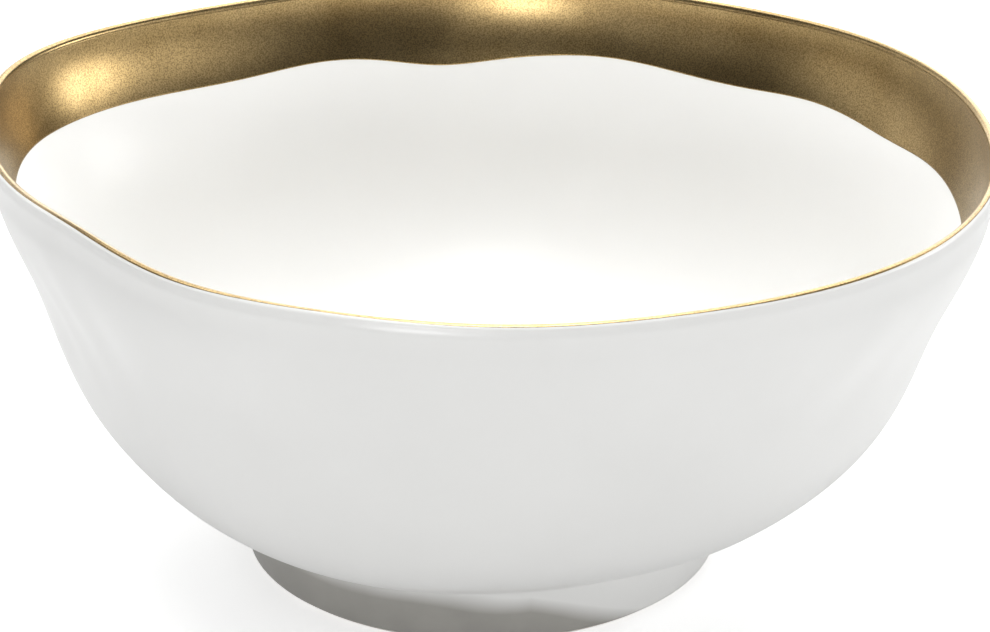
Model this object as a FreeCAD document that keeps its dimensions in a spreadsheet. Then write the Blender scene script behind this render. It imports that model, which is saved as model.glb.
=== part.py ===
import FreeCAD, Part
import math
import os
import Sketcher

# Hand-formed porcelain serving bowl on a tapered foot ring, glazed white, with a gilded lip and a
# gold lustre band inside the rim. Millimetres; the origin is on the ground under the foot's centre,
# +Z is up and -Y is the front of the bowl.

DOC = FreeCAD.newDocument("serving_bowl")

# ---------------------------------------------------------------- driving dimensions
SIZES = [
    ("rim_radius", 125.0),
    ("bowl_height", 112.5),
    ("foot_height", 18.0),
    ("foot_top_radius", 66.0),
    ("foot_base_radius", 60.5),
    ("foot_wall", 8.0),
    ("bare_edge", 1.5),
    ("contact_bevel", 1.2),
    ("flare_radius", 82.0),
    ("lower_radius", 98.0),
    ("belly_radius", 109.0),
    ("waist_radius", 113.5),
    ("shoulder_radius", 124.0),
    ("lip_thickness", 2.6),
    ("wall_thickness", 4.0),
    ("floor_thickness", 5.0),
    ("glaze_thickness", 0.4),
    ("gold_thickness", 0.3),
    ("seat_gap", 0.01),
    ("recess_corner", 0.6),
    ("lean_right", 2.8),
    ("lean_back", 1.2),
    ("floor_edge_radius", 62.0),
    ("floor_flat_radius", 42.0),
    ("floor_disc_radius", 20.0),
]

# The rim was pulled about by hand. Each pull is (degrees round from the front towards +X,
# half width in degrees, how far outwards, how far upwards).
RIM_PULLS = [
    (-108, 22, 11, 3),
    (-80, 16, -3.5, -4),
    (-58, 14, -5, 5),
    (-22, 15, 2, 3.5),
    (14, 18, -3.5, -0.5),
    (60, 20, 3.5, -1),
    (152, 22, -1.5, -3),
    (-150, 30, -3, -1),
]
STATIONS = 20

# How fast each irregularity fades from the rim (1) towards the foot (0).
SWELL_GROWTH = 0.3
LEAN_GROWTH = 0.7
RISE_GROWTH = 1.5

# A cubic ring of poles bends inside its corners; this much extra radius brings it back on size.
RING_GAIN = 3 / (2 + math.cos(2 * math.pi / STATIONS))
SEW_TOLERANCE = 0.001
CUBIC = 3


def make_sheet():
    sheet = DOC.addObject("Spreadsheet::Sheet", "Sizes")
    for row, (alias, value) in enumerate(SIZES, start=1):
        sheet.set("A%d" % row, alias)
        sheet.set("B%d" % row, str(value))
        sheet.setAlias("B%d" % row, alias)
    DOC.recompute()
    return sheet


SHEET = make_sheet()


def size(alias):
    return float(SHEET.get(alias))


RIM_RADIUS = size("rim_radius")
BOWL_HEIGHT = size("bowl_height")
FOOT_HEIGHT = size("foot_height")
FOOT_TOP_RADIUS = size("foot_top_radius")
FOOT_BASE_RADIUS = size("foot_base_radius")
BARE_EDGE = size("bare_edge")
LIP_THICKNESS = size("lip_thickness")
WALL_THICKNESS = size("wall_thickness")
GLAZE = size("glaze_thickness")
GOLD = size("gold_thickness")
LIP_ROUND = LIP_THICKNESS / 2
WALL_TOP = BOWL_HEIGHT - LIP_ROUND
FLOOR_LEVEL = FOOT_HEIGHT + size("floor_thickness")
FLOOR_DISC_RADIUS = size("floor_disc_radius")


# ---------------------------------------------------------------- the bowl's section
def at_share(share):
    """Height of a point on the wall, share 0 at the foot and 1 under the lip."""
    return FOOT_HEIGHT + (WALL_TOP - FOOT_HEIGHT) * share


# Each row is (radius, height, share of the rim's irregularity).
FLARE_SHARE = 0.06
LOWER_SHARE = 0.2
BELLY_SHARE = 0.42
WAIST_SHARE = 0.65
SHOULDER_SHARE = 0.85
THROAT_SHARE = 0.94
FLOOR_EDGE_SHARE = 0.01
# The inner rows sit higher than the outer ones, more so where the wall lies flatter.
UPPER_LIFT = 1
BELLY_LIFT = 1.5
LOWER_LIFT = 3
FLARE_LIFT = 5.5
FLARE_INSET = 2
FLOOR_EDGE_LIFT = 0.5
# How far the gold band reaches below the inner shoulder, on the way to the waist.
BAND_REACH = 0.35

OUTER_WALL = [
    (FOOT_TOP_RADIUS, FOOT_HEIGHT, 0),
    (size("flare_radius"), at_share(FLARE_SHARE), FLARE_SHARE),
    (size("lower_radius"), at_share(LOWER_SHARE), LOWER_SHARE),
    (size("belly_radius"), at_share(BELLY_SHARE), BELLY_SHARE),
    (size("waist_radius"), at_share(WAIST_SHARE), WAIST_SHARE),
    (size("shoulder_radius"), at_share(SHOULDER_SHARE), SHOULDER_SHARE),
    (RIM_RADIUS, WALL_TOP, 1),
]

# The lip is half round; its handles give each quarter a near-circular curve.
QUARTER_ROUND = 0.55
LIP_HANDLE = QUARTER_ROUND * LIP_ROUND
LIP_CENTRE = RIM_RADIUS - LIP_ROUND
LIP_INSIDE = RIM_RADIUS - LIP_THICKNESS
OUTER_LIP = [
    (RIM_RADIUS, WALL_TOP, 1),
    (RIM_RADIUS, WALL_TOP + LIP_HANDLE, 1),
    (LIP_CENTRE + LIP_HANDLE, BOWL_HEIGHT, 1),
    (LIP_CENTRE, BOWL_HEIGHT, 1),
]
INNER_LIP = [
    (LIP_CENTRE, BOWL_HEIGHT, 1),
    (LIP_CENTRE - LIP_HANDLE, BOWL_HEIGHT, 1),
    (LIP_INSIDE, WALL_TOP + LIP_HANDLE, 1),
    (LIP_INSIDE, WALL_TOP, 1),
]

INNER_SHOULDER = (
    size("shoulder_radius") - WALL_THICKNESS,
    at_share(SHOULDER_SHARE) + UPPER_LIFT,
    SHOULDER_SHARE,
)
INNER_WAIST = (
    size("waist_radius") - WALL_THICKNESS,
    at_share(WAIST_SHARE) + UPPER_LIFT,
    WAIST_SHARE,
)


def between(row_a, row_b, fraction):
    return tuple(a + (b - a) * fraction for a, b in zip(row_a, row_b))


BAND_FOOT = between(INNER_SHOULDER, INNER_WAIST, BAND_REACH)

BAND_WALL = [
    (LIP_INSIDE, WALL_TOP, 1),
    (LIP_INSIDE, at_share(THROAT_SHARE), THROAT_SHARE),
    INNER_SHOULDER,
    BAND_FOOT,
]
INNER_WALL = [
    BAND_FOOT,
    INNER_WAIST,
    (size("belly_radius") - WALL_THICKNESS, at_share(BELLY_SHARE) + BELLY_LIFT, BELLY_SHARE),
    (size("lower_radius") - WALL_THICKNESS, at_share(LOWER_SHARE) + LOWER_LIFT, LOWER_SHARE),
    (size("flare_radius") - FLARE_INSET, FLOOR_LEVEL + FLARE_LIFT, FLARE_SHARE),
    (size("floor_edge_radius"), FLOOR_LEVEL + FLOOR_EDGE_LIFT, FLOOR_EDGE_SHARE),
    (size("floor_flat_radius"), FLOOR_LEVEL, 0),
    (FLOOR_DISC_RADIUS, FLOOR_LEVEL, 0),
]


def offset_chain(parts, distance):
    """Shift joined outlines sideways, outwards from the clay for a positive distance."""
    rows = list(parts[0])
    for part in parts[1:]:
        rows += part[1:]
    moved = []
    for i, (radius, height, share) in enumerate(rows):
        before = rows[max(i - 1, 0)]
        after = rows[min(i + 1, len(rows) - 1)]
        along_r = after[0] - before[0]
        along_z = after[1] - before[1]
        length = math.hypot(along_r, along_z)
        moved.append((
            radius + distance * along_z / length,
            height - distance * along_r / length,
            share,
        ))
    result = []
    start = 0
    for part in parts:
        result.append(moved[start:start + len(part)])
        start += len(part) - 1
    return result


GLAZED = [OUTER_WALL, OUTER_LIP, INNER_LIP, BAND_WALL, INNER_WALL]
WALL, LIP_OUT, LIP_IN, BAND, INSIDE = range(len(GLAZED))
CLAY = offset_chain(GLAZED, -GLAZE)
CLAY[WALL][0] = (FOOT_TOP_RADIUS - GLAZE, FOOT_HEIGHT, 0)
CLAY[INSIDE][-1] = (FLOOR_DISC_RADIUS, FLOOR_LEVEL - GLAZE, 0)
GILDED = offset_chain(GLAZED, GOLD)


# ---------------------------------------------------------------- surfaces around the bowl
def pull_at(angle):
    """Outward and upward pull on the rim at an angle round from the front."""
    outward = 0
    upward = 0
    for degrees, half_width, out, up in RIM_PULLS:
        turn = math.remainder(angle - math.radians(degrees), 2 * math.pi)
        strength = math.exp(-(turn / math.radians(half_width)) ** 2)
        outward += out * strength
        upward += up * strength
    return outward, upward


def ring(row):
    """Poles of one level of the bowl, carrying its share of the hand-formed irregularity."""
    radius, height, share = row
    lean = share ** LEAN_GROWTH
    poles = []
    for station in range(STATIONS):
        angle = 2 * math.pi * station / STATIONS
        outward, upward = pull_at(angle)
        reach = (radius + share ** SWELL_GROWTH * outward) * RING_GAIN
        poles.append(FreeCAD.Vector(
            reach * math.sin(angle) + lean * size("lean_right"),
            -reach * math.cos(angle) + lean * size("lean_back"),
            height + share ** RISE_GROWTH * upward,
        ))
    return poles


def patch(rows):
    """Smooth face through levels of the bowl; two levels alone are joined straight."""
    rings = [ring(row) for row in rows]
    poles = [[level[i] for level in rings] for i in range(STATIONS)]
    degree = min(CUBIC, len(rows) - 1)
    spans = len(rows) - degree
    surface = Part.BSplineSurface()
    surface.buildFromPolesMultsKnots(
        poles,
        [1] * (STATIONS + 1),
        [degree + 1] + [1] * (spans - 1) + [degree + 1],
        list(range(STATIONS + 1)),
        list(range(spans + 1)),
        True,
        False,
        CUBIC,
        degree,
    )
    return surface.toShape()


def disc(row):
    """Flat face closing one level of the bowl."""
    poles = ring(row)
    curve = Part.BSplineCurve()
    curve.buildFromPolesMultsKnots(
        poles, [1] * (STATIONS + 1), list(range(STATIONS + 1)), True, CUBIC
    )
    return Part.Face(Part.Wire(curve.toShape()))


def solid_from(faces):
    shell = Part.Compound(faces)
    shell.sewShape(SEW_TOLERANCE)
    solid = Part.Solid(Part.Shell(shell.Faces))
    if solid.Volume < 0:
        solid.reverse()
    return solid


def add_feature(name, shape):
    feature = DOC.addObject("Part::Feature", name)
    feature.Label = name
    feature.Shape = shape
    feature.Placement = FreeCAD.Placement()
    return feature


# ---------------------------------------------------------------- porcelain body
def make_body():
    faces = [patch(rows) for rows in CLAY]
    faces.append(disc(CLAY[WALL][0]))
    faces.append(disc(CLAY[INSIDE][-1]))
    return add_feature("porcelain_body", solid_from(faces))


# ---------------------------------------------------------------- glaze
def foot_radius(height):
    """Glazed radius of the tapered foot at a height."""
    taper = (FOOT_TOP_RADIUS - FOOT_BASE_RADIUS) / FOOT_HEIGHT
    return FOOT_BASE_RADIUS + taper * height


def make_exterior_glaze():
    foot_outside = [(foot_radius(BARE_EDGE), BARE_EDGE, 0), GLAZED[WALL][0]]
    foot_inside = [(foot_radius(BARE_EDGE) - GLAZE, BARE_EDGE, 0), CLAY[WALL][0]]
    faces = [patch(foot_outside), patch(foot_inside)]
    for rows in GLAZED[:LIP_IN] + CLAY[:LIP_IN]:
        faces.append(patch(rows))
    faces.append(patch([foot_outside[0], foot_inside[0]]))
    faces.append(patch([GLAZED[LIP_OUT][-1], CLAY[LIP_OUT][-1]]))
    return add_feature("exterior_glaze", solid_from(faces))


def make_interior_glaze():
    faces = [patch(rows) for rows in GLAZED[LIP_IN:] + CLAY[LIP_IN:]]
    faces.append(patch([GLAZED[LIP_IN][0], CLAY[LIP_IN][0]]))
    faces.append(disc(GLAZED[INSIDE][-1]))
    faces.append(disc(CLAY[INSIDE][-1]))
    return add_feature("interior_glaze", solid_from(faces))


# ---------------------------------------------------------------- gold
def make_gold_lip():
    faces = [patch(rows) for rows in GLAZED[LIP_OUT:BAND] + GILDED[LIP_OUT:BAND]]
    faces.append(patch([GLAZED[LIP_OUT][0], GILDED[LIP_OUT][0]]))
    faces.append(patch([GLAZED[LIP_IN][-1], GILDED[LIP_IN][-1]]))
    return add_feature("gold_lip", solid_from(faces))


def make_gold_band():
    faces = [patch(GLAZED[BAND]), patch(GILDED[BAND])]
    faces.append(patch([GLAZED[BAND][0], GILDED[BAND][0]]))
    faces.append(patch([GLAZED[BAND][-1], GILDED[BAND][-1]]))
    return add_feature("gold_band", solid_from(faces))


# ---------------------------------------------------------------- turned parts under the bowl
HORIZONTAL_AXIS = -1
VERTICAL_AXIS = -2
ORIGIN_POINT = (-1, 1)


def origin_plane(body, role):
    for feature in body.Origin.OriginFeatures:
        if feature.Role == role:
            return feature
    raise RuntimeError("no plane " + role)


def pin(sketch, line, direction, axis, value, expression):
    """Hold the start of a line at a distance driven by the sheet, or on the axis itself."""
    if expression == "0":
        sketch.addConstraint(Sketcher.Constraint("PointOnObject", line, 1, axis))
        return
    constraint = Sketcher.Constraint(direction, *ORIGIN_POINT, line, 1, value)
    index = sketch.addConstraint(constraint)
    sketch.setExpression("Constraints[%d]" % index, expression)


def turned_body(name, corners):
    """Revolve a closed outline; each corner is (radius, height) as expressions of the sheet."""
    body = DOC.addObject("PartDesign::Body", name)
    body.Label = name
    sketch = body.newObject("Sketcher::SketchObject", name + "_section")
    sketch.AttachmentSupport = [(origin_plane(body, "XZ_Plane"), "")]
    sketch.MapMode = "FlatFace"
    values = [
        (float(SHEET.evalExpression(radius)), float(SHEET.evalExpression(height)))
        for radius, height in corners
    ]
    points = [FreeCAD.Vector(radius, height, 0) for radius, height in values]
    for start, end in zip(points, points[1:] + points[:1]):
        sketch.addGeometry(Part.LineSegment(start, end))
    for line in range(len(points)):
        following = (line + 1) % len(points)
        sketch.addConstraint(Sketcher.Constraint("Coincident", line, 2, following, 1))
    for line, (radius, height) in enumerate(corners):
        pin(sketch, line, "DistanceX", VERTICAL_AXIS, values[line][0], radius)
        pin(sketch, line, "DistanceY", HORIZONTAL_AXIS, values[line][1], height)
    revolution = body.newObject("PartDesign::Revolution", name + "_turned")
    revolution.Profile = sketch
    revolution.ReferenceAxis = (sketch, ["V_Axis"])
    revolution.Angle = 360
    return body


FOOT_TAPER = "(Sizes.foot_top_radius - Sizes.foot_base_radius) / Sizes.foot_height"
CLAY_INSET = "(Sizes.glaze_thickness + Sizes.seat_gap)"
GLAZE_LINE = "(Sizes.foot_base_radius + " + FOOT_TAPER + " * Sizes.bare_edge)"
RECESS_BASE = "(Sizes.foot_base_radius - Sizes.foot_wall)"
RECESS_TOP = "(Sizes.foot_top_radius - Sizes.foot_wall)"


def make_foot_ring():
    return turned_body("foot_ring", [
        (RECESS_BASE, "0"),
        ("Sizes.foot_base_radius - Sizes.contact_bevel", "0"),
        (GLAZE_LINE + " - " + CLAY_INSET, "Sizes.bare_edge"),
        ("Sizes.foot_top_radius - " + CLAY_INSET, "Sizes.foot_height"),
        (RECESS_TOP, "Sizes.foot_height"),
        (RECESS_BASE + " + " + FOOT_TAPER + " * Sizes.bare_edge", "Sizes.bare_edge"),
    ])


def make_underside_glaze():
    """Glaze over the recess in the foot: its ceiling and its sloping side."""
    side_base = RECESS_BASE + " + " + FOOT_TAPER + " * Sizes.bare_edge - Sizes.seat_gap"
    return turned_body("underside_glaze", [
        ("0", "Sizes.foot_height - Sizes.glaze_thickness - Sizes.seat_gap"),
        (
            RECESS_TOP + " - Sizes.recess_corner",
            "Sizes.foot_height - Sizes.glaze_thickness - Sizes.seat_gap",
        ),
        (side_base + " - Sizes.glaze_thickness", "Sizes.bare_edge"),
        (side_base, "Sizes.bare_edge"),
        (RECESS_TOP + " - Sizes.seat_gap", "Sizes.foot_height - Sizes.seat_gap"),
        ("0", "Sizes.foot_height - Sizes.seat_gap"),
    ])


# ---------------------------------------------------------------- build, check and write
def write(parts):
    DOC.recompute()
    for item in DOC.Objects:
        for flag in ("Invalid", "Error"):
            if flag in item.State:
                raise RuntimeError("%s is %s" % (item.Label, flag))
    os.makedirs("parts", exist_ok=True)
    for part in parts:
        shape = part.Shape
        if shape.isNull() or not shape.isValid():
            raise RuntimeError("bad shape: " + part.Label)
        shape.exportStep("parts/%s.step" % part.Label)
        print(part.Label, len(shape.Solids), round(shape.Volume, 1), shape.BoundBox)


write([
    make_body(),
    make_foot_ring(),
    make_exterior_glaze(),
    make_interior_glaze(),
    make_underside_glaze(),
    make_gold_band(),
    make_gold_lip(),
])
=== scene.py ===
"""Looks of the hand-formed porcelain serving bowl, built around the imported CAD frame. Metres."""
import math

import bpy
import numpy as np
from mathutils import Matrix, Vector


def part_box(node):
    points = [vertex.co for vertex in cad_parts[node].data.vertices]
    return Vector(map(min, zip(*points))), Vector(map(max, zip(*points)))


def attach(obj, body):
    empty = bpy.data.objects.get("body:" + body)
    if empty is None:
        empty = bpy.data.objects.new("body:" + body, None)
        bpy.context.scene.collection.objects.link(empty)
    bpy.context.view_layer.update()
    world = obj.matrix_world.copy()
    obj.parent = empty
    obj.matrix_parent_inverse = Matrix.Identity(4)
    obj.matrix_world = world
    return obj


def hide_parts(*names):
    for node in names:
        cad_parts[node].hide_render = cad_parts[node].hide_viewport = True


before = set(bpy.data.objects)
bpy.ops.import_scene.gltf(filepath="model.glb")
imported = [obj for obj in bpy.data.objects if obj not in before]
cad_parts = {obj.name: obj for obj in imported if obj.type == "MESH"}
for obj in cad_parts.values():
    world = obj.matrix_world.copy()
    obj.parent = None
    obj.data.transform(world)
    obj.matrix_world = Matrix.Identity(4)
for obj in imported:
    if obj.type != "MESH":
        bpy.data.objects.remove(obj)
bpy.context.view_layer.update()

MM = 0.001

# ---------------------------------------------------------------- sizes read from the frame
FOOT_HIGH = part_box("foot_ring")[1]
INSIDE_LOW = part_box("interior_glaze")[0]
OUTSIDE_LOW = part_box("exterior_glaze")[0]

GLAZE = 0.4 * MM
# How far the gold film stands out of the glaze, and how far it reaches in.
GOLD = 0.05 * MM
GOLD_ROOT = 0.01 * MM
FOOT_HEIGHT = FOOT_HIGH.z
FOOT_TOP_RADIUS = FOOT_HIGH.x + GLAZE
FOOT_SPREAD = 5.5 * MM
FOOT_BASE_RADIUS = FOOT_TOP_RADIUS - FOOT_SPREAD
BARE_EDGE = OUTSIDE_LOW.z
FLOOR_LEVEL = INSIDE_LOW.z + GLAZE

# ---------------------------------------------------------------- driving sizes of the bowl's form
# These repeat the part's own driving sizes, in metres.
RIM_RADIUS = 125 * MM
BOWL_HEIGHT = 112.5 * MM
LIP_THICKNESS = 2.6 * MM
WALL_THICKNESS = 4 * MM
FLARE_RADIUS = 82 * MM
LOWER_RADIUS = 98 * MM
BELLY_RADIUS = 109 * MM
WAIST_RADIUS = 113.5 * MM
SHOULDER_RADIUS = 124 * MM
LEAN_RIGHT = 2.8 * MM
LEAN_BACK = 1.2 * MM
STATIONS = 20
# The rim was pulled about by hand. Each pull is (degrees round from the front towards +X,
# half width in degrees, how far outwards, how far upwards), in millimetres as in the part.
RIM_PULLS = [
    (-108, 22, 11, 3),
    (-80, 16, -3.5, -4),
    (-58, 14, -5, 5),
    (-22, 15, 2, 3.5),
    (14, 18, -3.5, -0.5),
    (60, 20, 3.5, -1),
    (152, 22, -1.5, -3),
    (-150, 30, -3, -1),
]
SWELL_GROWTH = 0.3
LEAN_GROWTH = 0.7
RISE_GROWTH = 1.5
RING_GAIN = 3 / (2 + math.cos(2 * math.pi / STATIONS))

LIP_ROUND = LIP_THICKNESS / 2
WALL_TOP = BOWL_HEIGHT - LIP_ROUND
# How finely the meshes are cut: columns around the bowl, rows along each stretch.
COLUMNS = 400
WALL_SAMPLES = 240
FOOT_ROWS = 26
BLEND_ROWS = 44
WALL_ROWS = 150
LIP_ROWS = 12
BAND_ROWS = 44
INSIDE_ROWS = 130
FLOOR_RINGS = 16
LIP_FILM_ROWS = 20
BAND_FILM_ROWS = 60


def at_share(share):
    return FOOT_HEIGHT + (WALL_TOP - FOOT_HEIGHT) * share


FLARE_SHARE = 0.06
LOWER_SHARE = 0.2
BELLY_SHARE = 0.42
WAIST_SHARE = 0.65
SHOULDER_SHARE = 0.85
THROAT_SHARE = 0.94
FLOOR_EDGE_SHARE = 0.01
BAND_REACH = 0.35
# The inner rows sit higher than the outer ones, more so where the wall lies flatter.
UPPER_LIFT = 1 * MM
BELLY_LIFT = 1.5 * MM
LOWER_LIFT = 3 * MM
FLARE_LIFT = 5.5 * MM
FLARE_INSET = 2 * MM
FLOOR_EDGE_LIFT = 0.5 * MM
FLOOR_EDGE_RADIUS = 62 * MM
FLOOR_FLAT_RADIUS = 42 * MM
FLOOR_DISC_RADIUS = 20 * MM
QUARTER_ROUND = 0.55

# Each row is (radius, height, share of the rim's irregularity).
OUTER_WALL = [
    (FOOT_TOP_RADIUS, FOOT_HEIGHT, 0),
    (FLARE_RADIUS, at_share(FLARE_SHARE), FLARE_SHARE),
    (LOWER_RADIUS, at_share(LOWER_SHARE), LOWER_SHARE),
    (BELLY_RADIUS, at_share(BELLY_SHARE), BELLY_SHARE),
    (WAIST_RADIUS, at_share(WAIST_SHARE), WAIST_SHARE),
    (SHOULDER_RADIUS, at_share(SHOULDER_SHARE), SHOULDER_SHARE),
    (RIM_RADIUS, WALL_TOP, 1),
]
LIP_HANDLE = QUARTER_ROUND * LIP_ROUND
LIP_CENTRE = RIM_RADIUS - LIP_ROUND
LIP_INSIDE = RIM_RADIUS - LIP_THICKNESS
OUTER_LIP = [
    (RIM_RADIUS, WALL_TOP, 1),
    (RIM_RADIUS, WALL_TOP + LIP_HANDLE, 1),
    (LIP_CENTRE + LIP_HANDLE, BOWL_HEIGHT, 1),
    (LIP_CENTRE, BOWL_HEIGHT, 1),
]
INNER_LIP = [
    (LIP_CENTRE, BOWL_HEIGHT, 1),
    (LIP_CENTRE - LIP_HANDLE, BOWL_HEIGHT, 1),
    (LIP_INSIDE, WALL_TOP + LIP_HANDLE, 1),
    (LIP_INSIDE, WALL_TOP, 1),
]
INNER_SHOULDER = (
    SHOULDER_RADIUS - WALL_THICKNESS,
    at_share(SHOULDER_SHARE) + UPPER_LIFT,
    SHOULDER_SHARE,
)
INNER_WAIST = (WAIST_RADIUS - WALL_THICKNESS, at_share(WAIST_SHARE) + UPPER_LIFT, WAIST_SHARE)
BAND_FOOT = tuple(a + (b - a) * BAND_REACH for a, b in zip(INNER_SHOULDER, INNER_WAIST))
BAND_WALL = [
    (LIP_INSIDE, WALL_TOP, 1),
    (LIP_INSIDE, at_share(THROAT_SHARE), THROAT_SHARE),
    INNER_SHOULDER,
    BAND_FOOT,
]
INNER_WALL = [
    BAND_FOOT,
    INNER_WAIST,
    (BELLY_RADIUS - WALL_THICKNESS, at_share(BELLY_SHARE) + BELLY_LIFT, BELLY_SHARE),
    (LOWER_RADIUS - WALL_THICKNESS, at_share(LOWER_SHARE) + LOWER_LIFT, LOWER_SHARE),
    (FLARE_RADIUS - FLARE_INSET, FLOOR_LEVEL + FLARE_LIFT, FLARE_SHARE),
    (FLOOR_EDGE_RADIUS, FLOOR_LEVEL + FLOOR_EDGE_LIFT, FLOOR_EDGE_SHARE),
    (FLOOR_FLAT_RADIUS, FLOOR_LEVEL, 0),
    (FLOOR_DISC_RADIUS, FLOOR_LEVEL, 0),
]


# ---------------------------------------------------------------- smooth surface through the rows
def around_weights(columns):
    """Weights that blend the stations' poles into evenly spaced columns."""
    weights = np.zeros((columns, STATIONS))
    for column in range(columns):
        place = column * STATIONS / columns
        station = int(place)
        u = place - station
        blend = (
            (1 - u) ** 3,
            3 * u ** 3 - 6 * u * u + 4,
            -3 * u ** 3 + 3 * u * u + 3 * u + 1,
            u ** 3,
        )
        for step, share in enumerate(blend):
            weights[column, (station + step - 1) % STATIONS] += share / 6
    return weights


LAST_KNOT_MARGIN = 1e-9


def along_weights(rows, samples):
    """Clamped cubic weights along a section of so many rows."""
    spans = rows - 3
    knots = np.concatenate([[0] * 3, np.arange(spans + 1), [spans] * 3]).astype(float)
    place = np.linspace(0, spans, samples)
    place[-1] -= LAST_KNOT_MARGIN
    weights = ((knots[:-1] <= place[:, None]) & (place[:, None] < knots[1:])).astype(float)
    for degree in range(1, 4):
        raised = np.zeros((samples, weights.shape[1] - 1))
        for i in range(raised.shape[1]):
            rise = knots[i + degree] - knots[i]
            fall = knots[i + degree + 1] - knots[i + 1]
            if rise > 0:
                raised[:, i] += (place - knots[i]) / rise * weights[:, i]
            if fall > 0:
                raised[:, i] += (knots[i + degree + 1] - place) / fall * weights[:, i + 1]
        weights = raised
    return weights


AROUND = around_weights(COLUMNS)
ANGLES = 2 * math.pi * np.arange(STATIONS) / STATIONS


def turn_from(angle, degrees):
    """How far an angle is round from so many degrees, between half a turn back and half a turn on."""
    return (angle - math.radians(degrees) + math.pi) % (2 * math.pi) - math.pi


def bulge(angle, degrees, half_width):
    """A smooth hump of height 1 around the bowl, centred at so many degrees from the front."""
    return np.exp(-(turn_from(angle, degrees) / math.radians(half_width)) ** 2)


RIM_SWELL = MM * sum(out * bulge(ANGLES, degrees, half) for degrees, half, out, up in RIM_PULLS)
RIM_RISE = MM * sum(up * bulge(ANGLES, degrees, half) for degrees, half, out, up in RIM_PULLS)


def surface(rows, samples):
    """Points of a stretch of the bowl, as (samples, columns, 3)."""
    radius, height, share = (np.array(v, float)[:, None] for v in zip(*rows))
    reach = (radius + share ** SWELL_GROWTH * RIM_SWELL) * RING_GAIN
    lean = share ** LEAN_GROWTH
    poles = np.stack([
        reach * np.sin(ANGLES) + lean * LEAN_RIGHT,
        -reach * np.cos(ANGLES) + lean * LEAN_BACK,
        height + share ** RISE_GROWTH * RIM_RISE,
    ], axis=-1)
    return np.einsum("sr,rkc,jk->sjc", along_weights(len(rows), samples), poles, AROUND)


# ---------------------------------------------------------------- outside of the bowl, foot included
THETA = 2 * math.pi * np.arange(COLUMNS) / COLUMNS


def waves(angle, parts):
    """Sum of slow ripples around the bowl; each part is (count, size, phase)."""
    return sum(size * np.cos(count * angle + phase) for count, size, phase in parts)


# The luted foot is thicker in some places than others, so its seam with the wall wanders.
SEAM_WANDER = [(5, 0.5 * MM, 0.6), (8, 0.35 * MM, 2.2), (13, 0.3 * MM, 4.0), (3, 0.3 * MM, 1.0)]
SEAM_SOFTNESS = 5 * MM
BLEND_TOP = 32 * MM
# Rows of the wall's surface over which its slope at the foot is taken.
SLOPE_ROWS = 4
FOOT_TAPER = FOOT_SPREAD / FOOT_HEIGHT


def smooth_larger(a, b, softness):
    """The larger of two values, rounded off where they are nearly equal."""
    gap = np.clip(0.5 + 0.5 * (a - b) / softness, 0, 1)
    return b + (a - b) * gap + softness * gap * (1 - gap)


def outside():
    """Foot and wall of the glazed outside joined by a soft wandering seam."""
    wall = surface(OUTER_WALL, WALL_SAMPLES)
    radius = np.hypot(wall[:, :, 0], wall[:, :, 1])
    azimuth = np.unwrap(np.arctan2(wall[:, :, 0], -wall[:, :, 1]), axis=1)
    heights = np.concatenate([
        np.linspace(BARE_EDGE, FOOT_HEIGHT, FOOT_ROWS, endpoint=False),
        np.linspace(FOOT_HEIGHT, BLEND_TOP, BLEND_ROWS),
    ])
    columns = []
    for j in range(COLUMNS):
        level = wall[:, j, 2]
        slope = (radius[SLOPE_ROWS, j] - radius[0, j]) / (level[SLOPE_ROWS] - level[0])
        wall_radius = np.interp(heights, level, radius[:, j])
        below = heights < level[0]
        wall_radius[below] = radius[0, j] + slope * (heights[below] - level[0])
        turn = np.interp(heights, level, azimuth[:, j])
        thick = waves(THETA[j], SEAM_WANDER) * np.clip(heights / FOOT_HEIGHT, 0, 1) ** 2
        foot_radius = FOOT_BASE_RADIUS + FOOT_TAPER * heights + thick
        joined = smooth_larger(wall_radius, foot_radius, SEAM_SOFTNESS)
        low = np.stack([joined * np.sin(turn), -joined * np.cos(turn), heights], -1)
        upper = np.concatenate([low[-1:], wall[level > BLEND_TOP, j]])
        columns.append(np.concatenate([low[:-1], resample(upper, WALL_ROWS)]))
    return np.stack(columns, axis=1)


def resample(points, count):
    """Evenly spaced points along a line of points."""
    steps = np.linalg.norm(np.diff(points, axis=0), axis=1)
    run = np.concatenate([[0], np.cumsum(steps)])
    places = np.linspace(0, run[-1], count)
    return np.stack([np.interp(places, run, points[:, c]) for c in range(3)], -1)


def normals_of(grid):
    """Unit normals of a grid closed around the bowl, pointing away from the clay."""
    along = np.gradient(grid, axis=0)
    around = np.roll(grid, -1, axis=1) - np.roll(grid, 1, axis=1)
    normal = np.cross(around, along)
    return normal / np.linalg.norm(normal, axis=-1, keepdims=True)


# ---------------------------------------------------------------- grids of the whole glazed skin
outer_grid = outside()
outer_lip = surface(OUTER_LIP, LIP_ROWS)
inner_lip = surface(INNER_LIP, LIP_ROWS)
band_wall = surface(BAND_WALL, BAND_ROWS)
inner_wall = surface(INNER_WALL, INSIDE_ROWS)
skin = np.concatenate([outer_grid, outer_lip[1:], inner_lip[1:], band_wall[1:], inner_wall[1:]])
OUTER_END = len(outer_grid)
CREST = OUTER_END + len(outer_lip) - 2
LIP_END = CREST + len(inner_lip) - 1


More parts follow.
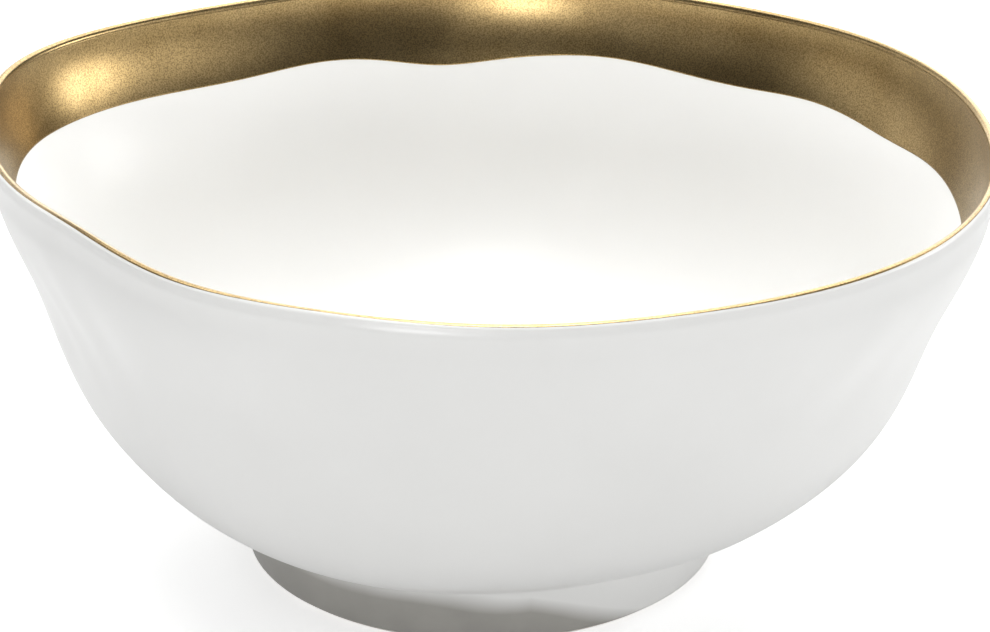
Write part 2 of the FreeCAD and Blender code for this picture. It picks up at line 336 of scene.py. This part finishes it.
# Soft dents and ridges left by the potter's hands on the outside: (degrees round from the front,
# height, half width, half length, lean of the ridge, depth), lengths in millimetres.
HAND_MARKS = [
    (-59, 89, 7, 20, 0.55, 0.9),
    (-66, 78, 6, 17, 0.55, 0.7),
    (-52, 84, 7, 20, 0.55, -0.8),
    (-75, 66, 9, 22, 0.4, 0.6),
    (-38, 62, 16, 26, 0.3, 0.5),
    (44, 87, 6, 20, -0.9, 0.9),
    (49, 79, 6, 18, -0.9, -0.8),
    (36, 70, 12, 18, -0.5, 0.5),
    (62, 62, 10, 24, -0.5, 0.6),
    (14, 88, 14, 20, -0.3, -0.4),
    (-12, 70, 16, 22, 0.3, 0.4),
    (95, 74, 11, 24, 0.5, 0.7),
    (128, 84, 12, 20, -0.5, -0.8),
    (150, 60, 14, 24, 0.4, 0.7),
    (178, 82, 13, 22, -0.6, 0.8),
    (-155, 66, 14, 24, 0.5, -0.7),
    (-125, 84, 11, 20, -0.5, 0.8),
    (-100, 60, 12, 24, 0.4, 0.6),
]
HAND_MARK_GAIN = 0.5
# Slow ripples that climb round the wall: how fast each set turns with height, and its waves.
CLIMBING_RIPPLES = [
    (9, [(7, 0.12 * MM, 0.4), (11, 0.08 * MM, 2.0)]),
    (-14, [(5, 0.12 * MM, 1.3), (9, 0.07 * MM, 5.0)]),
]
FADE_ABOVE_FOOT = 12 * MM
FADE_BELOW_LIP = 10 * MM
LIP_BEAD = 0.35 * MM
LIP_BEAD_WIDTH = 1.5 * MM
LIP_BEAD_WAVES = [(3, 0.3, 0.5), (7, 0.25, 2.5)]
LIP_BEAD_RUN_OUT = 0.6 * LIP_BEAD_WIDTH
LIP_GROOVE = 0.22 * MM
LIP_GROOVE_DROP = 4.2 * LIP_BEAD_WIDTH
LIP_GROOVE_WIDTH = 1.6 * LIP_BEAD_WIDTH


def hand_formed(grid):
    """Push the outside in and out a little: potter's marks, slow ripples and a bead under the lip."""
    x, y, z = grid[..., 0], grid[..., 1], grid[..., 2]
    angle = np.arctan2(x, -y)
    shift = np.zeros(angle.shape)
    for degrees, height, half_width, half_length, lean, depth in HAND_MARKS:
        across = turn_from(angle, degrees) * RIM_RADIUS
        up = z - height * MM
        length = math.hypot(1, lean)
        side = (across + lean * up) / length / (half_width * MM)
        rise = (up - lean * across) / length / (half_length * MM)
        shift += depth * MM * HAND_MARK_GAIN * np.exp(-side ** 2 - rise ** 2)
    shift += sum(waves(angle + climb * z, parts) for climb, parts in CLIMBING_RIPPLES)
    top = z[-1] - z
    above_foot = np.clip((z - FOOT_HEIGHT) / FADE_ABOVE_FOOT, 0, 1)
    fade = above_foot * np.clip(top / FADE_BELOW_LIP, 0, 1)
    shift *= fade * fade * (3 - 2 * fade)
    bead = LIP_BEAD * np.exp(-((top - LIP_BEAD_WIDTH) / LIP_BEAD_WIDTH) ** 2)
    groove = LIP_GROOVE * np.exp(-((top - LIP_GROOVE_DROP) / LIP_GROOVE_WIDTH) ** 2)
    uneven = 1 + waves(angle, LIP_BEAD_WAVES)
    ends_softly = np.clip(top / LIP_BEAD_RUN_OUT, 0, 1)
    shift += (bead * uneven - groove) * ends_softly
    return grid + normals_of(grid) * shift[..., None]


skin[:OUTER_END] = hand_formed(skin[:OUTER_END])
skin_normal = normals_of(skin)


# ---------------------------------------------------------------- mesh building
def new_object(name, vertices, faces):
    mesh = bpy.data.meshes.new(name)
    mesh.from_pydata([tuple(v) for v in vertices], [], faces)
    mesh.validate()
    mesh.shade_smooth()
    piece = bpy.data.objects.new(name, mesh)
    bpy.context.scene.collection.objects.link(piece)
    return piece


def strips(first_row, second_row, columns):
    """Quads between two rows of points that run round the bowl."""
    quads = []
    for j in range(columns):
        right = (j + 1) % columns
        quads.append((
            first_row * columns + j,
            first_row * columns + right,
            second_row * columns + right,
            second_row * columns + j,
        ))
    return quads


def closed_loop(name, loop):
    """Closed ring-shaped solid; its section is a closed line of rows, columns run around."""
    rows, columns = loop.shape[:2]
    faces = []
    for i in range(rows):
        faces += strips(i, (i + 1) % rows, columns)
    return new_object(name, loop.reshape(-1, 3), faces)


def closed_skin(name, outer, inner):
    """Closed layer between two grids of the same shape."""
    return closed_loop(name, np.concatenate([outer, inner[::-1]]))


def closed_bowl(name, grid):
    """Closed solid from one grid whose first and last rows are capped with a disc."""
    rows, columns = grid.shape[:2]
    faces = []
    for i in range(rows - 1):
        faces += strips(i, i + 1, columns)
    low = rows * columns
    high = low + 1
    last = (rows - 1) * columns
    for j in range(columns):
        right = (j + 1) % columns
        faces.append((low, right, j))
        faces.append((high, last + j, last + right))
    centres = [grid[0].mean(axis=0), grid[-1].mean(axis=0)]
    return new_object(name, np.concatenate([grid.reshape(-1, 3), centres]), faces)


def settled(piece, node, material):
    """Put a finished piece on the bowl's body, in place of its CAD node."""
    piece.data.materials.append(material)
    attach(piece, "root")
    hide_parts(node)
    return piece


# ---------------------------------------------------------------- materials
# Nearly all of a noise texture's values lie between these two.
SPREAD_LOW = 0.3
SPREAD_HIGH = 0.7


def new_material(name, **sockets):
    """A Principled material; a socket's name has _ where Blender has a space."""
    material = bpy.data.materials.new(name)
    material.use_nodes = True
    shader = material.node_tree.nodes["Principled BSDF"]
    for label, value in sockets.items():
        shader.inputs[label.replace("_", " ")].default_value = value
    return material, material.node_tree, shader


def noise(tree, scale, detail, roughness=0.5):
    """Noise fixed to the object; scale is in cycles per metre."""
    coordinates = tree.nodes.new("ShaderNodeTexCoord")
    texture = tree.nodes.new("ShaderNodeTexNoise")
    texture.inputs["Scale"].default_value = scale
    texture.inputs["Detail"].default_value = detail
    texture.inputs["Roughness"].default_value = roughness
    tree.links.new(coordinates.outputs["Object"], texture.inputs["Vector"])
    return texture.outputs["Fac"]


def tone_ramp(tree, source, low_colour, high_colour):
    """Colour that runs from one tone to another over the middle of the source's range."""
    node = tree.nodes.new("ShaderNodeValToRGB")
    stops = [(SPREAD_LOW, low_colour), (SPREAD_HIGH, high_colour)]
    for element, (place, colour) in zip(node.color_ramp.elements, stops):
        element.position = place
        element.color = (*colour, 1)
    tree.links.new(source, node.inputs["Fac"])
    return node.outputs["Color"]


def spread(tree, source, low, high, from_low=SPREAD_LOW, from_high=SPREAD_HIGH):
    """Map a source's range to a value from low to high, held at both ends."""
    node = tree.nodes.new("ShaderNodeMapRange")
    node.inputs["From Min"].default_value = from_low
    node.inputs["From Max"].default_value = from_high
    node.inputs["To Min"].default_value = low
    node.inputs["To Max"].default_value = high
    tree.links.new(source, node.inputs["Value"])
    return node.outputs["Result"]


def bump(tree, source, distance, strength=1.0, under=None):
    """Normal of a small relief, laid over another normal if one is given."""
    node = tree.nodes.new("ShaderNodeBump")
    node.inputs["Strength"].default_value = strength
    node.inputs["Distance"].default_value = distance
    tree.links.new(source, node.inputs["Height"])
    if under is not None:
        tree.links.new(under, node.inputs["Normal"])
    return node.outputs["Normal"]


def blend_colours(tree, fraction, first, second):
    """Mix two colours by a fraction; all three are outputs of other nodes."""
    node = tree.nodes.new("ShaderNodeMix")
    node.data_type = "RGBA"
    tree.links.new(fraction, node.inputs["Factor"])
    for value, label in ((first, "A"), (second, "B")):
        socket = next(i for i in node.inputs if i.name == label and i.type == "RGBA")
        tree.links.new(value, socket)
    return next(o for o in node.outputs if o.type == "RGBA")


PORCELAIN_IOR = 1.5
GLAZE_POOLS = 22
GLAZE_GLOSS_PATCHES = 60
GLAZE_RIPPLES = 160
GLAZE_RIPPLE_HEIGHT = 0.03 * MM
GLAZE_RIPPLE_STRENGTH = 0.4
# Mottle within the foot's grey and how light it gets; the grey is partly thinner glaze and partly
# painted shade.
THIN_GLAZE_AND_SHADE_MOTTLE = 90
THIN_GLAZE_AND_SHADE_LIGHTEST = 1.12


def glaze_material(name, light, shade, rough_low, rough_high, foot_shade=None):
    """Clear-over-white glaze: faint pooling of tone, slightly uneven gloss and a soft ripple. Given a
    foot_shade colour, it greys the foot low down, partly as thinner glaze and partly as painted shade
    under the bowl.
    """
    material, tree, shader = new_material(name, IOR=PORCELAIN_IOR)
    tone = tone_ramp(tree, noise(tree, GLAZE_POOLS, 3), shade, light)
    # Painted shade: the foot is greyed low down, standing in for the shade under the bowl as well as a
    # thinner glaze.
    if foot_shade is not None:
        mottle = noise(tree, THIN_GLAZE_AND_SHADE_MOTTLE, 4)
        thin_glaze_and_shade = tone_ramp(tree, mottle, foot_shade, scaled(foot_shade, THIN_GLAZE_AND_SHADE_LIGHTEST))
        tone = blend_colours(tree, above_thin_glaze_and_shade(tree), thin_glaze_and_shade, tone)
    gloss = spread(tree, noise(tree, GLAZE_GLOSS_PATCHES, 3), rough_low, rough_high)
    ripple = bump(tree, noise(tree, GLAZE_RIPPLES, 1), GLAZE_RIPPLE_HEIGHT, GLAZE_RIPPLE_STRENGTH)
    tree.links.new(tone, shader.inputs["Base Color"])
    tree.links.new(gloss, shader.inputs["Roughness"])
    tree.links.new(ripple, shader.inputs["Normal"])
    return material


def scaled(colour, gain):
    return tuple(gain * c for c in colour)


# Top, soft edge and wander of the foot's grey, which is partly thinner glaze and partly painted shade.
THIN_GLAZE_AND_SHADE_TOP = FOOT_HEIGHT - 1.5 * MM
THIN_GLAZE_AND_SHADE_EDGE = 6 * MM
THIN_GLAZE_AND_SHADE_WANDER = 13 * MM
THIN_GLAZE_AND_SHADE_WAVES = 24
# Painted light: over this span towards +X the foot's grey fades out, as if that side were lit.
PAINTED_LIT_SIDE_START = 12 * MM
PAINTED_LIT_SIDE_END = 48 * MM


def added(tree, first, second, gain):
    """One value plus gain times another."""
    node = tree.nodes.new("ShaderNodeMath")
    node.operation = "MULTIPLY_ADD"
    node.inputs[1].default_value = gain
    tree.links.new(second, node.inputs[0])
    tree.links.new(first, node.inputs[2])
    return node.outputs["Value"]


def above_thin_glaze_and_shade(tree):
    """0 low on the foot, where the glaze is greyer, partly from thinner glaze and partly as painted
    shade under the bowl, and 1 above a wavy line and towards the foot's +X side, which is painted
    lighter as if lit from there."""
    coordinates = tree.nodes.new("ShaderNodeTexCoord")
    split = tree.nodes.new("ShaderNodeSeparateXYZ")
    tree.links.new(coordinates.outputs["Object"], split.inputs["Vector"])
    level = added(tree, split.outputs["Z"], noise(tree, THIN_GLAZE_AND_SHADE_WAVES, 1), THIN_GLAZE_AND_SHADE_WANDER)
    # Painted light: towards +X the grey is lifted off the foot, as if lit from that side.
    side = spread(tree, split.outputs["X"], 0, 1, PAINTED_LIT_SIDE_START, PAINTED_LIT_SIDE_END)
    level = added(tree, level, side, FOOT_HEIGHT)
    middle = THIN_GLAZE_AND_SHADE_TOP + THIN_GLAZE_AND_SHADE_WANDER / 2
    return spread(tree, level, 0, 1, middle - THIN_GLAZE_AND_SHADE_EDGE, middle)


GRAINS = 2500
CLAY_TONES = 60
CLAY_ROUGH_PATCHES = 300
CLAY_ROUGH_LOW = 0.55
CLAY_ROUGH_HIGH = 0.75
CLAY_GRAIN_HEIGHT = 0.03 * MM
CLAY_GRAIN_STRENGTH = 0.6


def clay_material(name, light, shade):
    """Fired porcelain without glaze: matt, with fine grain and faint tone changes."""
    material, tree, shader = new_material(name, IOR=PORCELAIN_IOR)
    tone = tone_ramp(tree, noise(tree, CLAY_TONES, 5), shade, light)
    matt = spread(tree, noise(tree, CLAY_ROUGH_PATCHES, 3), CLAY_ROUGH_LOW, CLAY_ROUGH_HIGH)
    grain = bump(tree, noise(tree, GRAINS, 3), CLAY_GRAIN_HEIGHT, CLAY_GRAIN_STRENGTH)
    tree.links.new(tone, shader.inputs["Base Color"])
    tree.links.new(matt, shader.inputs["Roughness"])
    tree.links.new(grain, shader.inputs["Normal"])
    return material


GOLD_TONES = 45
GOLD_GRAIN_ROUGHNESS = 0.6
SPECK_LOW = 0.38
SPECK_HIGH = 0.6
SPECK_DEEP_SHARE = 0.5
SPECK_LIGHT_SHARE = 0.55
BURNISH_PATCHES = 70
BRUSH_RIPPLES = 110
BRUSH_RIPPLE_HEIGHT = 0.08 * MM
BRUSH_RIPPLE_STRENGTH = 0.35


def gold_material(name, light, deep, rough_low, rough_high, grain_depth):
    """Fired gold lustre: satin metal with fine grain, specks and a slightly uneven burnish."""
    material, tree, shader = new_material(name, Metallic=1.0)
    patches = noise(tree, GOLD_TONES, 4)
    tone = tone_ramp(tree, patches, deep, light)
    speck_tone = tone_ramp(
        tree, patches, scaled(deep, SPECK_DEEP_SHARE), scaled(light, SPECK_LIGHT_SHARE))
    grain = noise(tree, GRAINS, 2, GOLD_GRAIN_ROUGHNESS)
    clear_of_specks = spread(tree, grain, 0, 1, SPECK_LOW, SPECK_HIGH)
    colour = blend_colours(tree, clear_of_specks, speck_tone, tone)
    burnish = spread(tree, noise(tree, BURNISH_PATCHES, 3), rough_low, rough_high)
    slow = bump(tree, noise(tree, BRUSH_RIPPLES, 2), BRUSH_RIPPLE_HEIGHT, BRUSH_RIPPLE_STRENGTH)
    tree.links.new(colour, shader.inputs["Base Color"])
    tree.links.new(burnish, shader.inputs["Roughness"])
    tree.links.new(bump(tree, grain, grain_depth, 1.0, slow), shader.inputs["Normal"])
    return material


# The outside's last colour is the foot's grey: partly thinner glaze, partly painted shade under the
# bowl.
WHITE_OUTSIDE = glaze_material(
    "white_glaze_outside", (0.83, 0.83, 0.815), (0.8, 0.8, 0.785), 0.29, 0.35, (0.33, 0.32, 0.295))
WHITE_INSIDE = glaze_material(
    "white_glaze_inside", (0.88, 0.88, 0.865), (0.86, 0.86, 0.845), 0.29, 0.36)
WHITE_UNDER = glaze_material(
    "white_glaze_underside", (0.8, 0.795, 0.77), (0.76, 0.755, 0.73), 0.29, 0.4)
BODY_CLAY = clay_material("fired_porcelain", (0.82, 0.81, 0.78), (0.78, 0.77, 0.735))
BARE_CLAY = clay_material("bare_porcelain", (0.76, 0.73, 0.68), (0.7, 0.665, 0.61))
GOLD_LUSTRE = gold_material(
    "gold_lustre", (0.54, 0.39, 0.185), (0.43, 0.3, 0.13), 0.285, 0.33, 0.015 * MM)
GOLD_EDGING = gold_material(
    "gold_edging", (0.56, 0.41, 0.2), (0.44, 0.31, 0.14), 0.285, 0.32, 0.008 * MM)


# ---------------------------------------------------------------- clay, foot and glaze
clay = skin - skin_normal * GLAZE
clay[0, :, 2] = BARE_EDGE


FIRST_RING = 0.92
LAST_RING = 0.02


def floor_closed(grid):
    """Continue a grid over the bowl's floor to a small ring round its centre."""
    edge = grid[-1]
    centre = edge.mean(axis=0)
    shares = np.linspace(FIRST_RING, LAST_RING, FLOOR_RINGS)
    rings = [centre + (edge - centre) * share for share in shares]
    return np.concatenate([grid, np.array(rings)])


def add_glaze_outside():
    piece = closed_skin("glaze_coat_outside", skin[:CREST + 1], clay[:CREST + 1])
    settled(piece, "exterior_glaze", WHITE_OUTSIDE)


def add_glaze_inside():
    skin_rows = floor_closed(skin[CREST:])
    clay_rows = floor_closed(clay[CREST:])
    piece = closed_bowl("glaze_coat_inside", np.concatenate([clay_rows[::-1], skin_rows]))
    settled(piece, "interior_glaze", WHITE_INSIDE)


def add_body():
    grid = floor_closed(clay[FOOT_ROWS:])
    grid[0, :, 2] = FOOT_HEIGHT
    settled(closed_bowl("formed_body", grid), "porcelain_body", BODY_CLAY)


FOOT_WALL = 8 * MM
CONTACT_BEVEL = 1.2 * MM
EDGE_ROUND = 0.7 * MM
CORNER_CUT = 0.3 * EDGE_ROUND


def level_row(radius, height):
    """A round row of points at one height."""
    return np.stack([radius * np.sin(THETA), -radius * np.cos(THETA), np.full(COLUMNS, height)], -1)


def add_foot():
    """The foot ring: clay under the glaze outside, a plain recess inside, rubbed contact edge."""
    inside = FOOT_BASE_RADIUS - FOOT_WALL
    outside_edge = FOOT_BASE_RADIUS - CONTACT_BEVEL
    rows = [
        (FOOT_TOP_RADIUS - FOOT_WALL, FOOT_HEIGHT),
        (inside + FOOT_TAPER * FOOT_HEIGHT / 2, FOOT_HEIGHT / 2),
        (inside + FOOT_TAPER * EDGE_ROUND, EDGE_ROUND),
        (inside + CORNER_CUT, CORNER_CUT),
        (inside + EDGE_ROUND, 0),
        (outside_edge - EDGE_ROUND, 0),
        (outside_edge, CORNER_CUT),
    ]
    under = np.array([level_row(radius, height) for radius, height in rows])
    side = clay[:FOOT_ROWS + 1].copy()
    side[-1, :, 2] = FOOT_HEIGHT
    piece = closed_loop("luted_foot", np.concatenate([side, under]))
    settled(piece, "foot_ring", BARE_CLAY)


# ---------------------------------------------------------------- gold
BAND_DEPTH = 19.8 * MM
# Where the brush ran deeper or stopped short below the lip: (degrees round from the front, half
# width in degrees, how much deeper in millimetres).
BRUSH_MARKS = [
    (187, 9, 2.8),
    (163, 10, -1.6),
    (142, 9, 1),
    (115, 9, 1),
    (205, 10, -0.8),
    (-60, 20, 1),
]
BRUSH_WAVES = [(6, 0.35 * MM, 1.0), (11, 0.25 * MM, 2.5)]


def gold_rows(start_row, starts, ends, rows):
    """Rows of gold film between two distances below a row of the skin, given for each column."""
    points = np.zeros((rows, COLUMNS, 3))
    normals = np.zeros((rows, COLUMNS, 3))
    for j in range(COLUMNS):
        line = skin[start_row:, j]
        steps = np.linalg.norm(np.diff(line, axis=0), axis=1)
        run = np.concatenate([[0], np.cumsum(steps)])
        places = np.linspace(starts[j], ends[j], rows)
        for c in range(3):
            points[:, j, c] = np.interp(places, run, line[:, c])
            normals[:, j, c] = np.interp(places, run, skin_normal[start_row:, j, c])
    return points, normals


def gold_film(name, node, material, rows):
    """Thin closed film on the skin, dipped a little into the glaze so that no gap shows."""
    points, normals = rows
    outer = points + normals * GOLD
    inner = points - normals * GOLD_ROOT
    settled(closed_skin(name, outer, inner), node, material)


def run_between(first, last):
    """Distance along the skin from one row to another, in each column."""
    return np.linalg.norm(np.diff(skin[first:last + 1], axis=0), axis=-1).sum(axis=0)


# The gilding starts this share of the way over the lip, from the outside.
LIP_START = 0.27
LIP_WAVES = [(4, 0.16 * MM, 0.8), (9, 0.13 * MM, 3.0)]


def add_gold():
    whole_lip = run_between(OUTER_END, LIP_END)
    lip_edge = LIP_START * whole_lip + waves(THETA, LIP_WAVES)
    gold_film("gilded_lip", "gold_lip", GOLD_EDGING,
              gold_rows(OUTER_END, lip_edge, whole_lip, LIP_FILM_ROWS))
    depth = BAND_DEPTH + waves(THETA, BRUSH_WAVES)
    for degrees, half_width, deeper in BRUSH_MARKS:
        depth = depth + deeper * MM * bulge(THETA, degrees, half_width)
    gold_film("lustre_band", "gold_band", GOLD_LUSTRE,
              gold_rows(LIP_END, np.zeros(COLUMNS), depth, BAND_FILM_ROWS))


def dress_underside():
    """The recess keeps its CAD shape and gets the glaze's looks."""
    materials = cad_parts["underside_glaze"].data.materials
    materials.clear()
    materials.append(WHITE_UNDER)


add_glaze_outside()
add_glaze_inside()
add_body()
add_foot()
add_gold()
dress_underside()


# ---------------------------------------------------------------- stage, light and camera
WHITE = (1, 1, 1, 1)
FLOOR_HALF = 4
FLOOR_ROUGHNESS = 0.7
FLOOR_PATCHES = 3
FLOOR_TONE_CHANGE = 0.02


def add_floor_plane(name, tone, glow):
    """A large level plane, pale grey by its tone and evenly lit by its own glow."""
    mesh = bpy.data.meshes.new(name)
    half = FLOOR_HALF
    corners = [(-half, -half, 0), (half, -half, 0), (half, half, 0), (-half, half, 0)]
    mesh.from_pydata(corners, [], [(0, 1, 2, 3)])
    floor = bpy.data.objects.new(name, mesh)
    bpy.context.scene.collection.objects.link(floor)
    material, tree, shader = new_material(
        name, Roughness=FLOOR_ROUGHNESS, Emission_Strength=glow, Emission_Color=WHITE)
    greys = [(grey, grey, grey) for grey in (tone, tone + FLOOR_TONE_CHANGE)]
    tree.links.new(tone_ramp(tree, noise(tree, FLOOR_PATCHES, 3), *greys), shader.inputs["Base Color"])
    mesh.materials.append(material)
    return floor


TABLE_DROP = 0.5 * MM


def add_floor():
    """The pale floor that is seen, and under it the greyer table top that light bounces from."""
    seen = add_floor_plane("studio_floor", tone=0.8, glow=0.55)
    seen.visible_diffuse = False
    seen.visible_glossy = False
    seen.visible_shadow = False
    table = add_floor_plane("bounce_table", tone=0.5, glow=0.24)
    table.location.z = -TABLE_DROP
    table.visible_camera = False


LAMP_DISTANCE = 1.6
LAMP_AIM = Vector((0, 0, 0.08))
# Light comes mostly from above and off the table; low panels round the bowl show in the gold.
# (name, degrees round from the front towards +X, degrees up, width, height, glow).
SOFTBOXES = [
    ("back_wall", 178, 8, 1.4, 0.8, 3),
    ("back_right", 165, 32, 1.2, 0.7, 2.5),
    ("overhead_back", 180, 60, 2.0, 0.8, 3.5),
    ("overhead", 180, 85, 0.8, 0.8, 9.5),
    ("front_above", 0, 64, 0.7, 0.4, 5.5),
    ("right_side", 97, 9, 0.6, 0.42, 8),
    ("right_panel", 70, 10, 0.4, 0.8, 1.7),
    ("left_panel", -108, 8, 1.4, 0.8, 0.95),
    ("left_back", -142, 10, 0.8, 0.8, 1.2),
    ("left_front", -45, 10, 1.3, 0.9, 0.4),
    ("front_strip", -6, 7, 0.5, 0.26, 17),
]


def add_softbox(name, azimuth, elevation, width, height, glow):
    """A rectangular lamp that faces the bowl; glow is how bright its face is."""
    data = bpy.data.lights.new(name, "AREA")
    data.shape = "RECTANGLE"
    data.size = width
    data.size_y = height
    data.energy = glow * math.pi * width * height
    lamp = bpy.data.objects.new(name, data)
    turn = math.radians(azimuth)
    rise = math.radians(elevation)
    away = Vector((
        math.sin(turn) * math.cos(rise),
        -math.cos(turn) * math.cos(rise),
        math.sin(rise),
    ))
    lamp.location = LAMP_AIM + away * LAMP_DISTANCE
    lamp.rotation_euler = away.to_track_quat("Z", "Y").to_euler()
    bpy.context.scene.collection.objects.link(lamp)


WORLD_GLOW = 0.04


def add_world(strength):
    world = bpy.data.worlds.new("studio")
    bpy.context.scene.world = world
    world.use_nodes = True
    background = world.node_tree.nodes["Background"]
    background.inputs["Color"].default_value = WHITE
    background.inputs["Strength"].default_value = strength


CAMERA_TILT = math.radians(24.5)
CAMERA_DISTANCE = 0.9
SIGHT_HEIGHT = 0.05
CAMERA_AIM = Vector((0.0034, 0, 0.0617))
FOCAL_LENGTH = 127.3
SENSOR_WIDTH = 36


def add_camera():
    """The camera stands in front, CAMERA_DISTANCE from the point of the axis at SIGHT_HEIGHT."""
    data = bpy.data.cameras.new("camera")
    data.sensor_width = SENSOR_WIDTH
    data.lens = FOCAL_LENGTH
    camera = bpy.data.objects.new("camera", data)
    place = Vector((
        0,
        -CAMERA_DISTANCE * math.cos(CAMERA_TILT),
        SIGHT_HEIGHT + CAMERA_DISTANCE * math.sin(CAMERA_TILT),
    ))
    camera.location = place
    camera.rotation_euler = (CAMERA_AIM - place).to_track_quat("-Z", "Y").to_euler()
    bpy.context.scene.collection.objects.link(camera)
    bpy.context.scene.camera = camera


add_floor()
for softbox in SOFTBOXES:
    add_softbox(*softbox)
add_world(WORLD_GLOW)
add_camera()
bpy.context.scene.view_settings.view_transform = "Standard"
